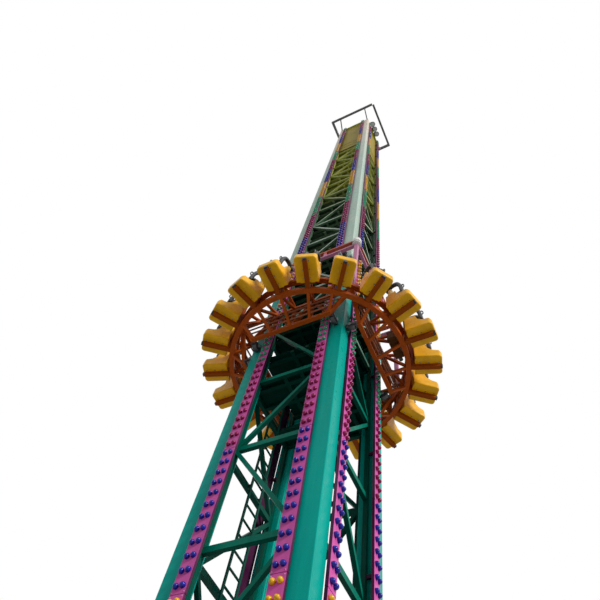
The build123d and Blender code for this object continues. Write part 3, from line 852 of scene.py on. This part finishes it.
class TOWER_OT_head(bpy.types.Operator):
    """Fit a glass and a rim to each floodlight"""

    bl_idname = "tower.head"
    bl_label = "Head Lamps"

    def execute(self, context):
        s = sizes()
        r = s.floodlight_radius
        lens = [(r * 0.86, 0), (r * 0.86, 0.004), (r * 0.6, 0.012), (r * 0.3, 0.016), (0, 0.017)]
        rim = [(r * 0.84, 0), (r, 0), (r, 0.012), (r * 0.97, 0.018), (r * 0.84, 0.018)]
        tilt, shift = s.floodlight_tilt, -s.floodlight_shift
        glass, rims = Parts(), Parts()
        for side in (-1, 1):
            down = Vector((side * sin(tilt), 0.0, -cos(tilt)))
            for step in (-1, 0, 1):
                middle = Vector((side * (HEAD_HIGH.x + s.floodlight_reach), shift + step * s.floodlight_pitch,
                                 (HEAD_LOW.z + HEAD_HIGH.z) / 2))
                place = facing(middle + down * s.floodlight_length / 2, down)
                glass.lathe(lens, 28, place)
                rims.collar(rim, 28, place)
        glass.piece("floodlight_glass", lamp_cap("clear_glass", tint("lens")), TOWER)
        steel = dark_metal("rim_steel", (0.12, 0.12, 0.125), 0.3)
        rims.piece("floodlight_rims", steel, TOWER, slot="dark_steel")
        return {"FINISHED"}


class TOWER_OT_gondola(bpy.types.Operator):
    """Paint the gondola's steelwork, guide wheels and seat shells"""

    bl_idname = "tower.gondola"
    bl_label = "Paint Gondola"

    def execute(self, context):
        dress("gondola_frame", plain_paint("rust_paint", tint("rust"), 0.4, 0.4))
        dress("upper_collar", collar_paint())
        arm = plain_paint("arm_paint", tint("brown"), 0.42, 0.3)
        for node in ("seat_arms", "seat_posts"):
            dress(node, arm)
        dark = dark_metal("wheel_steel", (0.03, 0.03, 0.034))
        dress("wheel_brackets", dark)
        dress("guide_wheels", dark)
        dress("arm_end_caps", dark_metal("black_plastic", tint("black")))
        shell = shell_plastic()
        for side in SIDES:
            dress(f"seats_{side}", shell)
        return {"FINISHED"}


class TOWER_OT_rails(bpy.types.Operator):
    """Run three thin rails along each side of the gondola's square frame"""

    bl_idname = "tower.rails"
    bl_label = "Gondola Rails"

    rows = 3        # rails to a side

    def execute(self, context):
        g = gondola_sizes()
        out = g.frame_face + g.rail_radius
        rails = Parts()
        for quarter in range(4):
            for i in range(self.rows):
                z, half = g.rail_low + i * g.rail_pitch, g.rail_half + i * g.rail_growth
                path = [(-half, -out, z), (0, -out, z), (half, -out, z)]
                rails.sweep(path, circle(g.rail_radius, 10), side_frame(quarter))
        coat = plain_paint("rail_paint", (0.4, 0.16, 0.09), 0.22, 0.3)
        rails.piece("gondola_rails", coat, GONDOLA, slot="rust_paint")
        return {"FINISHED"}


class TOWER_OT_wheels(bpy.types.Operator):
    """Put a nut on both ends of each guide wheel's axle"""

    bl_idname = "tower.wheels"
    bl_label = "Axle Nuts"

    def execute(self, context):
        g = gondola_sizes()
        nuts = Parts()
        out = WHEEL_LOW.y + g.wheel_radius
        for quarter in range(4):
            for offset in (-g.wheel_offset, g.wheel_offset):
                for z in (WHEEL_LOW.z + g.wheel_radius, WHEEL_HIGH.z - g.wheel_radius):
                    for end in (-1, 1):
                        at = (offset + end * g.axle_half, out, z)
                        bolt(nuts, g.axle_nut, side_frame(quarter) @ facing(at, (end, 0, 0)))
        steel = dark_metal("axle_steel", (0.25, 0.25, 0.26), 0.8)
        nuts.piece("axle_nuts", steel, GONDOLA, False, "dark_steel")
        return {"FINISHED"}


class TOWER_OT_covers(bpy.types.Operator):
    """Set a moulded cover, held by a band with a bolt, over each corner of the upper collar"""

    bl_idname = "tower.covers"
    bl_label = "Corner Covers"

    def execute(self, context):
        g = gondola_sizes()
        r, h = g.cover_radius, g.cover_height
        corner = g.frame_face - r * 0.35
        covers, bands = Parts(), Parts()
        profile = [(r * 0.94, 0.0), (r, h * 0.04), (r, h * 0.62), (r * 0.93, h * 0.78), (r * 0.72, h * 0.91),
                   (r * 0.38, h * 0.98), (0.0, h)]
        band = [(r * 0.98, h * 0.12), (r * 1.05, h * 0.12), (r * 1.05, h * 0.2), (r * 0.98, h * 0.2)]
        for x, y in CORNERS:
            place = Matrix.Translation((x * corner, y * corner, COLLAR_HIGH.z - h * 0.88))
            covers.lathe(profile, 24, place)
            bands.collar(band, 24, place)
            outward = Vector((x, y, 0)).normalized()
            at = place.translation + outward * r * 1.05 + Vector((0, 0, h * 0.16))
            bolt(bands, r * 0.1, facing(at, outward))
        coat = plain_paint("cover_white", tint("white"), 0.35, 0.3)
        covers.piece("collar_covers", coat, GONDOLA, slot="seat_shell")
        steel = dark_metal("band_steel", (0.12, 0.12, 0.125), 0.6)
        bands.piece("cover_bands", steel, GONDOLA, False, "dark_steel")
        return {"FINISHED"}


class TOWER_OT_seats(bpy.types.Operator):
    """Bolt each seat to its arm from below"""

    bl_idname = "tower.seats"
    bl_label = "Seat Bolts"

    # rear face of a seat to each pair of bolts, and the middle of the seat to a bolt
    rows, half = (0.09, 0.25, 0.41), 0.06

    def execute(self, context):
        r = gondola_sizes().bolt_radius
        bolts = Parts()
        for number in range(len(RESTRAINTS)):
            seat = seat_frame(number)
            for x in self.rows:
                for y in (-self.half, self.half):
                    bolt(bolts, r, seat @ facing((x, y, 0.0), (0, 0, -1)))
        steel = dark_metal("bolt_steel", (0.2, 0.2, 0.2), 0.8)
        bolts.piece("seat_bolts", steel, GONDOLA, False, "dark_steel")
        return {"FINISHED"}


class TOWER_OT_service(bpy.types.Operator):
    """Hang the service box and its control valve between the frame and the ring"""

    bl_idname = "tower.service"
    bl_label = "Service Box"

    # two corners of the box; the lid, feet and latches follow from them
    low, high = Vector((1.43, -0.18, 10.25)), Vector((1.585, 0.28, 10.45))
    lip, lid, tab, edge = 0.006, 0.016, 0.022, 0.004
    valve_share = 0.45      # of the way from the one corner to the other
    valve_profile = ((0.05, 0), (0.05, 0.012), (0.038, 0.016), (0.038, 0.1), (0.03, 0.108), (0, 0.108))

    def execute(self, context):
        box, valve = Parts(), Parts()
        low, high, lip, lid, tab = self.low, self.high, self.lip, self.lid, self.tab
        box.block(low, high)
        box.block((low.x - lip, low.y - lip, high.z), (high.x + lip, high.y + lip, high.z + lid))
        for y in (low.y + 4 * tab, high.y - 4 * tab):
            box.block((high.x - 2 * tab, y - tab, low.z - lip), (high.x + 2 * tab, y + tab, low.z))
            box.block((low.x - 2 * lip, y - tab, high.z - 2 * tab), (low.x, y + tab, high.z + lid + lip))
        coat = plain_paint("box_paint", (0.09, 0.035, 0.008), 0.45, 0.5)
        made = box.piece("service_box", coat, GONDOLA, False, "arm_paint")
        bevel = made.modifiers.new("edges", "BEVEL")
        bevel.width = self.edge
        bevel.segments = 2
        seat = low.lerp(high, self.valve_share)
        valve.lathe(self.valve_profile, 20, facing((seat.x, high.y, seat.z), (0, 1, 0)))
        coat = plain_paint("valve_paint", (0.16, 0.2, 0.15), 0.5, 0.4)
        valve.piece("service_valve", coat, GONDOLA, slot="dark_steel")
        return {"FINISHED"}


class TOWER_OT_restraints(bpy.types.Operator):
    """Shape one restraint's pads, inflate them, and fit them with their steelwork at every seat"""

    bl_idname = "tower.restraints"
    bl_label = "Shoulder Restraints"

    # middle lines, x and z from the pin: shoulder pad, the tube into it, and hand grip
    pad_line = ((0.05, 0.022), (0.125, 0.052), (0.235, 0.0), (0.3, -0.17), (0.325, -0.37), (0.335, -0.5))
    tube_line = ((0.03, 0.012), (0.06, 0.026), (0.12, 0.05))
    grip_line = ((0.325, -0.2), (0.375, -0.215), (0.387, -0.33), (0.342, -0.345))
    boss_bore, boss, tube, grip = 0.0185, 0.042, 0.022, 0.012      # radii
    room, end_room = 0.003, 0.004       # left for the swelling: round a pad, and at the lap pad's ends
    around, steps = 20, 16      # points round a pad's section, and steps along the lap pad

    def execute(self, context):
        g = gondola_sizes()
        pads, steel = self.pads(g), self.steel(g)
        foam, tube = skin_foam(), dark_metal("restraint_steel", (0.06, 0.06, 0.065), 0.3)
        model = pads.piece("pad_model", foam, GONDOLA)
        inflate(model, g.voxel, g.swell)
        shape = model.data
        bpy.data.objects.remove(model)
        for number, name in enumerate(RESTRAINTS):
            body = body_of(frame["nodes"][name])[0]
            seat = seat_frame(number)
            pad = bpy.data.objects.new(name.replace("restraint", "pad"), shape.copy())
            context.scene.collection.objects.link(pad)
            pad.matrix_world = seat
            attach(pad, body)
            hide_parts(name)
            bar = steel.piece(name.replace("restraint", "bar"), tube, body, slot="dark_steel")
            bar.matrix_world = seat
        return {"FINISHED"}

    def point(self, g, along, y):
        x, z = along
        return (x - g.pin_rear, y, z + g.pin_height)

    def pads(self, g):
        """Both shoulder pads and the lap pad across them."""
        pads = Parts()
        half_width, half_height = g.pad_width / 2 - self.room, g.pad_thickness / 2 - self.room
        section = cushion_section(half_width, half_height, self.around)
        line = eased(self.pad_line)
        for side in (-1, 1):
            pads.sweep([self.point(g, p, side * g.pad_centre) for p in line], section, ends=(0.55, 0.8, 0.93))
        reach = g.pad_centre + g.pad_width / 2 - self.end_room
        lap = [self.point(g, self.pad_line[-1], -reach + 2 * reach * i / self.steps)
               for i in range(self.steps + 1)]
        section = cushion_section(half_height, half_height, self.around)
        pads.sweep(lap, section, ends=(0.6, 0.85, 0.96))
        return pads

    def steel(self, g):
        """The bosses on the pin, the tubes into the pads and the hand grips."""
        steel = Parts()
        for side in (-1, 1):
            y = side * g.pad_centre
            pin = facing(self.point(g, (0, 0), y - side * g.pad_width / 2), (0, side, 0))
            loop = [(self.boss_bore, 0), (self.boss, 0),
                    (self.boss, g.pad_width), (self.boss_bore, g.pad_width)]
            steel.collar(loop, 24, pin)
            steel.sweep([self.point(g, p, y) for p in self.tube_line], circle(self.tube, 14))
            steel.sweep([self.point(g, p, y) for p in eased(self.grip_line, 2)], circle(self.grip, 10))
        return steel


def inflate(pad, voxel, cap, pressure=4.0, stiffness=30.0, steps=20):
    """Blow a pad up as cloth under pressure, then keep each point within the cap of where it was."""
    remesh = pad.modifiers.new("even_mesh", "REMESH")
    remesh.mode = "VOXEL"
    remesh.voxel_size = voxel
    settle(pad)
    start = [point.co.copy() for point in pad.data.vertices]
    cloth = pad.modifiers.new("pressure", "CLOTH")
    cloth.settings.use_pressure = True
    cloth.settings.uniform_pressure_force = pressure
    cloth.settings.tension_stiffness = stiffness
    cloth.settings.compression_stiffness = stiffness
    cloth.settings.effector_weights.gravity = 0.0
    for step in range(1, steps + 1):
        bpy.context.scene.frame_set(step)
    settle(pad)
    bpy.context.scene.frame_set(1)
    for point, before in zip(pad.data.vertices, start):
        move = point.co - before
        if move.length > cap:
            point.co = before + move * (cap / move.length)
    smooth = pad.modifiers.new("rounded", "SMOOTH")
    smooth.iterations = 3
    settle(pad)
    pad.data.shade_smooth()


def settle(piece):
    """Replace a piece's mesh with what its modifiers make of it, and take them off."""
    graph = bpy.context.evaluated_depsgraph_get()
    mesh = bpy.data.meshes.new_from_object(piece.evaluated_get(graph))
    piece.modifiers.clear()
    piece.data = mesh


class TOWER_OT_stage(bpy.types.Operator):
    """Lay the floor, set the world and the key light, and stand the camera"""

    bl_idname = "tower.stage"
    bl_label = "Stage and Camera"

    def execute(self, context):
        v = context.scene.tower_view
        self.floor(v)
        self.world(v)
        self.key_light(v)
        self.camera(context, v)
        context.scene.view_settings.view_transform = "Standard"
        return {"FINISHED"}

    def seen(self, tree):
        """1 on rays from the camera, a gloss or a glass, 0 on the rays that light the object."""
        paths = tree.nodes.new("ShaderNodeLightPath")
        value = paths.outputs["Is Camera Ray"]
        for name in ("Is Glossy Ray", "Is Transmission Ray"):
            either = tree.nodes.new("ShaderNodeMath")
            either.operation = "MAXIMUM"
            tree.links.new(value, either.inputs[0])
            tree.links.new(paths.outputs[name], either.inputs[1])
            value = either.outputs[0]
        return value

    def floor(self, v):
        mesh = bpy.data.meshes.new("floor")
        corners = [(x * v.floor_half, y * v.floor_half, 0) for x, y in ((-1, -1), (1, -1), (1, 1), (-1, 1))]
        mesh.from_pydata(corners, [], [(0, 1, 2, 3)])
        finish = Finish("floor_pale")
        pale = finish.ramp(finish.noise(0.6, 3.0), [(0.3, (0.78, 0.78, 0.78)), (0.7, (0.84, 0.84, 0.84))])
        bounce = (v.floor_bounce, v.floor_bounce, v.floor_bounce)
        finish.set(Base_Color=finish.mix(self.seen(finish.tree), bounce, pale), Roughness=0.9)
        mesh.materials.append(finish.material)
        floor = bpy.data.objects.new("floor", mesh)
        bpy.context.scene.collection.objects.link(floor)

    def world(self, v):
        world = bpy.data.worlds.new("studio")
        bpy.context.scene.world = world
        world.use_nodes = True
        tree = world.node_tree
        soft = tree.nodes["Background"]
        soft.inputs["Color"].default_value = (0.96, 0.98, 1.0, 1.0)
        soft.inputs["Strength"].default_value = v.world_strength
        white = tree.nodes.new("ShaderNodeBackground")
        white.inputs["Color"].default_value = (1, 1, 1, 1)
        mix = tree.nodes.new("ShaderNodeMixShader")
        tree.links.new(self.seen(tree), mix.inputs[0])
        tree.links.new(soft.outputs[0], mix.inputs[1])
        tree.links.new(white.outputs[0], mix.inputs[2])
        tree.links.new(mix.outputs[0], tree.nodes["World Output"].inputs["Surface"])

    def key_light(self, v):
        light = bpy.data.lights.new("key_sun", "SUN")
        light.energy = v.sun_strength
        light.angle = radians(18)
        light.color = (1.0, 0.97, 0.92)
        sun = bpy.data.objects.new("key_sun", light)
        bpy.context.scene.collection.objects.link(sun)
        toward = Vector((0.85, -0.25, 0.5))
        sun.rotation_euler = toward.to_track_quat("Z", "Y").to_euler()

    def camera(self, context, v):
        forward = Vector((-sin(v.heading) * cos(v.tilt), cos(v.heading) * cos(v.tilt), sin(v.tilt)))
        right = Vector((cos(v.heading), sin(v.heading), 0.0))
        up = right.cross(forward)
        across = cos(v.roll) * right + sin(v.roll) * up
        upward = cos(v.roll) * up - sin(v.roll) * right
        data = bpy.data.cameras.new("photo_camera")
        data.sensor_width = 36.0
        data.lens = v.lens
        data.clip_end = 500.0
        camera = bpy.data.objects.new("photo_camera", data)
        turned = Matrix((across, upward, -forward)).transposed().to_4x4()
        camera.matrix_world = Matrix.Translation(v.place) @ turned
        context.scene.collection.objects.link(camera)
        context.scene.camera = camera


class TOWER_PT_panel(bpy.types.Panel):
    """Lists the steps of the dressing"""

    bl_idname = "TOWER_PT_panel"
    bl_label = "Drop Tower"
    bl_space_type = "VIEW_3D"
    bl_region_type = "UI"
    bl_category = "Drop Tower"

    def draw(self, context):
        for operator in OPERATORS:
            self.layout.operator(operator.bl_idname)


OPERATORS = (TOWER_OT_stage, TOWER_OT_paint, TOWER_OT_strips, TOWER_OT_cladding, TOWER_OT_decks,
             TOWER_OT_lamps, TOWER_OT_screws, TOWER_OT_anchors, TOWER_OT_head, TOWER_OT_gondola,
             TOWER_OT_rails, TOWER_OT_wheels, TOWER_OT_covers, TOWER_OT_seats, TOWER_OT_service,
             TOWER_OT_restraints)
SETTINGS = (("tower_sizes", TowerSizes), ("gondola_sizes", GondolaSizes), ("tower_colours", TowerColours),
            ("tower_view", ViewSettings))
CLASSES = (*[group for name, group in SETTINGS], *OPERATORS, TOWER_PT_panel)


def register():
    for cls in CLASSES:
        bpy.utils.register_class(cls)
    for name, group in SETTINGS:
        setattr(bpy.types.Scene, name, PointerProperty(type=group))


def unregister():
    for name, group in SETTINGS:
        delattr(bpy.types.Scene, name)
    for cls in reversed(CLASSES):
        bpy.utils.unregister_class(cls)


def main():
    register()
    for operator in OPERATORS:
        group, name = operator.bl_idname.split(".")
        getattr(getattr(bpy.ops, group), name)()


if __name__ == "__main__":
    main()
